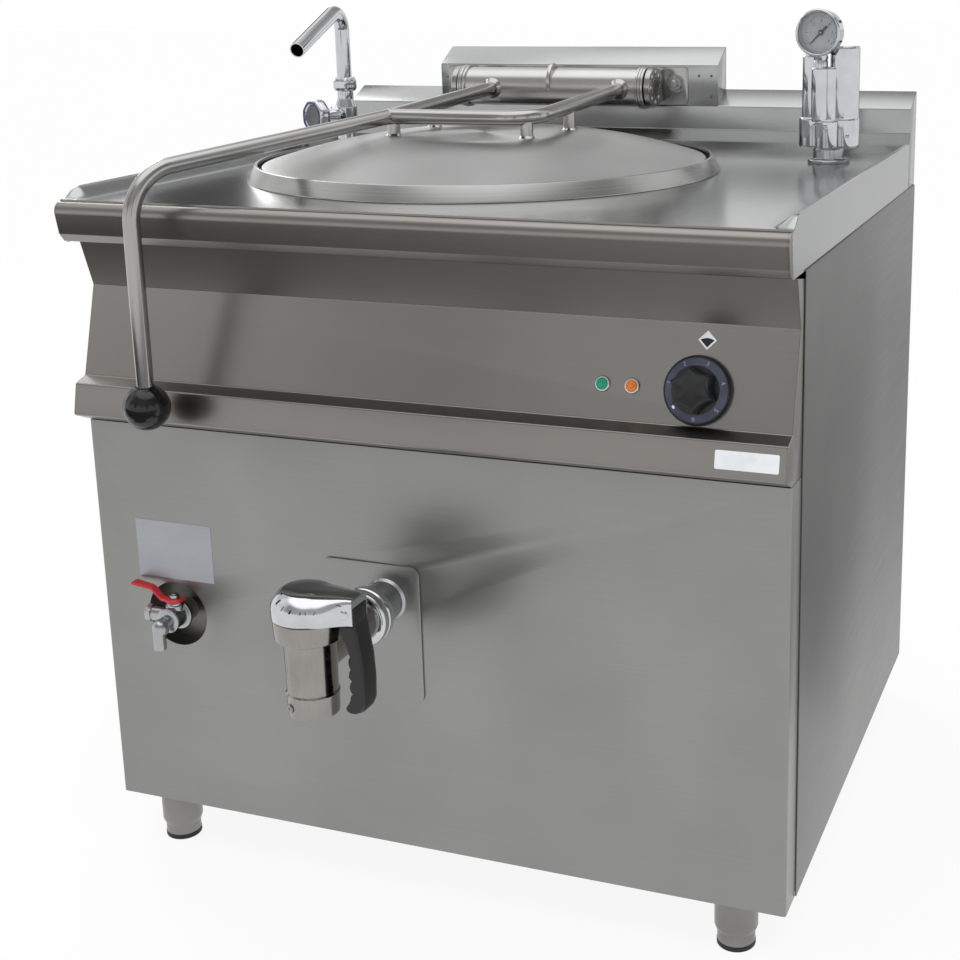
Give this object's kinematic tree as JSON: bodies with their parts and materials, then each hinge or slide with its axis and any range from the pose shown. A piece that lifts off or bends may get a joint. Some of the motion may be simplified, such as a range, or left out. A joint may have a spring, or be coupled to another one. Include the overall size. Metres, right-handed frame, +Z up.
{
  "type": "steam jacketed kettle",
  "caption": "Free-standing stainless steam jacketed kettle with a round pan under a lever-opened hinged lid, a draw-off valve, water tap, pressure gauge and level tap.",
  "frame": {"origin": "on the floor, under the middle of the whole machine", "axes": "+Z up, +Y toward the back, +X toward the right seen from the front"},
  "size_m": [0.8075, 0.884, 0.9528],
  "materials": {
    "stainless_brushed": "brushed stainless sheet, fine straight grain",
    "stainless_worktop": "bright brushed stainless sheet, half mirror",
    "stainless_spun": "spun stainless, circular grain",
    "stainless_tube": "satin stainless tube",
    "polished_steel": "polished and plated",
    "inner_steel": "plain mill-finish steel",
    "spring_steel": "oiled spring steel",
    "mineral_wool": "matt fibrous board",
    "black_plastic": "moulded, fine grain",
    "black_gloss": "polished phenolic",
    "knob_plastic": "moulded dark blue-grey",
    "wheel_plastic": "moulded dark blue",
    "red_paint": "dipped red coating",
    "green_lens": "clear moulded lens",
    "orange_lens": "clear moulded lens",
    "dial_white": "matt white",
    "needle_black": "matt black",
    "clear_glass": "clear",
    "grey_plastic": "moulded"
  },
  "bodies": {
    "cabinet": {"front_panel": "stainless_brushed", "control_fascia": "stainless_brushed", "side_panel_left": "stainless_brushed", "side_panel_right": "stainless_brushed", "rear_panel": "stainless_brushed", "escutcheon_plate": "stainless_brushed", "foot_sleeves": "stainless_brushed", "worktop": "stainless_worktop", "worktop_front": "stainless_worktop", "upstand": "stainless_worktop", "hinge_box": "stainless_worktop", "pan_collar": "stainless_worktop", "pan_wall": "stainless_spun", "pan_bottom": "stainless_spun", "hinge_brackets": "stainless_tube", "draw_off_pipe": "polished_steel", "draw_off_coupling": "polished_steel", "draw_off_body": "polished_steel", "draw_off_pin": "polished_steel", "level_tap_body": "polished_steel", "water_tap_body": "polished_steel", "safety_base": "polished_steel", "safety_body": "polished_steel", "gauge_case": "polished_steel", "hinge_bolts": "polished_steel", "base_tray": "inner_steel", "tap_recess": "inner_steel", "support_frame": "inner_steel", "jacket_shell": "inner_steel", "heating_elements": "inner_steel", "jacket_pipes": "inner_steel", "water_pipe": "inner_steel", "water_inlet": "inner_steel", "hinge_shaft": "inner_steel", "torsion_spring": "spring_steel", "insulation": "mineral_wool", "green_lamp": "green_lens", "orange_lamp": "orange_lens", "gauge_dial": "dial_white", "gauge_glass": "clear_glass", "control_gear": "grey_plastic", "cable_gland": "grey_plastic"},
    "lid_assembly": {"lid": "stainless_spun", "lid_frame": "stainless_tube", "lid_handle": "stainless_tube", "ball_knob": "black_gloss", "hinge_drum": "stainless_tube"},
    "draw_off_lever": {"draw_off_hood": "polished_steel", "draw_off_handle": "black_plastic"},
    "draw_off_plug": {"draw_off_plug": "inner_steel"},
    "level_tap_handle": {"level_tap_ball": "inner_steel", "level_tap_lever": "red_paint"},
    "water_spout": {"water_tap_spout": "polished_steel"},
    "water_handwheel": {"water_tap_handwheel": "wheel_plastic"},
    "control_knob": {"thermostat_knob": "knob_plastic"},
    "gauge_pointer": {"gauge_needle": "needle_black"},
    "foot_fl": {"foot_front_left": "black_plastic"},
    "foot_fr": {"foot_front_right": "black_plastic"},
    "foot_rl": {"foot_rear_left": "black_plastic"},
    "foot_rr": {"foot_rear_right": "black_plastic"}
  },
  "joints": [
    {"name": "lid_hinge", "type": "hinge", "parent": "cabinet", "child": "lid_assembly", "pos_m": [-0.06, 0.339, 0.844], "axis": [-1, 0, 0], "range_deg": [0, 85]},
    {"name": "draw_off_lever", "type": "hinge", "parent": "cabinet", "child": "draw_off_lever", "pos_m": [0.009, -0.406, 0.404], "axis": [0, 1, 0], "range_deg": [0, 9]},
    {"name": "draw_off_lift", "type": "slide", "parent": "cabinet", "child": "draw_off_plug", "axis": [0, 0, 1], "range_m": [0, 0.0076]},
    {"name": "level_tap_turn", "type": "hinge", "parent": "cabinet", "child": "level_tap_handle", "pos_m": [-0.298, -0.263, 0.298], "axis": [0, 0, 1], "range_deg": [0, 90]},
    {"name": "spout_swivel", "type": "hinge", "parent": "cabinet", "child": "water_spout", "pos_m": [-0.362, 0.294, 0.848], "axis": [0, 0, 1], "range_deg": [-120, 45]},
    {"name": "handwheel_turn", "type": "hinge", "parent": "cabinet", "child": "water_handwheel", "pos_m": [-0.37778, 0.26164, 0.806], "axis": [-0.4384, -0.8988, 0], "range_deg": [0, 720]},
    {"name": "thermostat_turn", "type": "hinge", "parent": "cabinet", "child": "control_knob", "pos_m": [0.305, -0.24111, 0.60059], "axis": [0, 0.9604, -0.2787], "range_deg": [0, 270]},
    {"name": "gauge_needle_turn", "type": "hinge", "parent": "cabinet", "child": "gauge_pointer", "pos_m": [0.31, 0.265, 0.9175], "axis": [0.1392, 0.9903, 0], "range_deg": [0, 270], "stiffness_Nm_per_rad": 0.002},
    {"name": "foot_fl_height", "type": "slide", "parent": "cabinet", "child": "foot_fl", "axis": [0, 0, -1], "range_m": [0, 0.03]},
    {"name": "foot_fr_height", "type": "slide", "parent": "cabinet", "child": "foot_fr", "axis": [0, 0, -1], "range_m": [0, 0.03]},
    {"name": "foot_rl_height", "type": "slide", "parent": "cabinet", "child": "foot_rl", "axis": [0, 0, -1], "range_m": [0, 0.03]},
    {"name": "foot_rr_height", "type": "slide", "parent": "cabinet", "child": "foot_rr", "axis": [0, 0, -1], "range_m": [0, 0.03]}
  ],
  "couplings": [
    {"joint": "draw_off_lift", "follows": "draw_off_lever", "m_per_rad": 0.047}
  ]
}
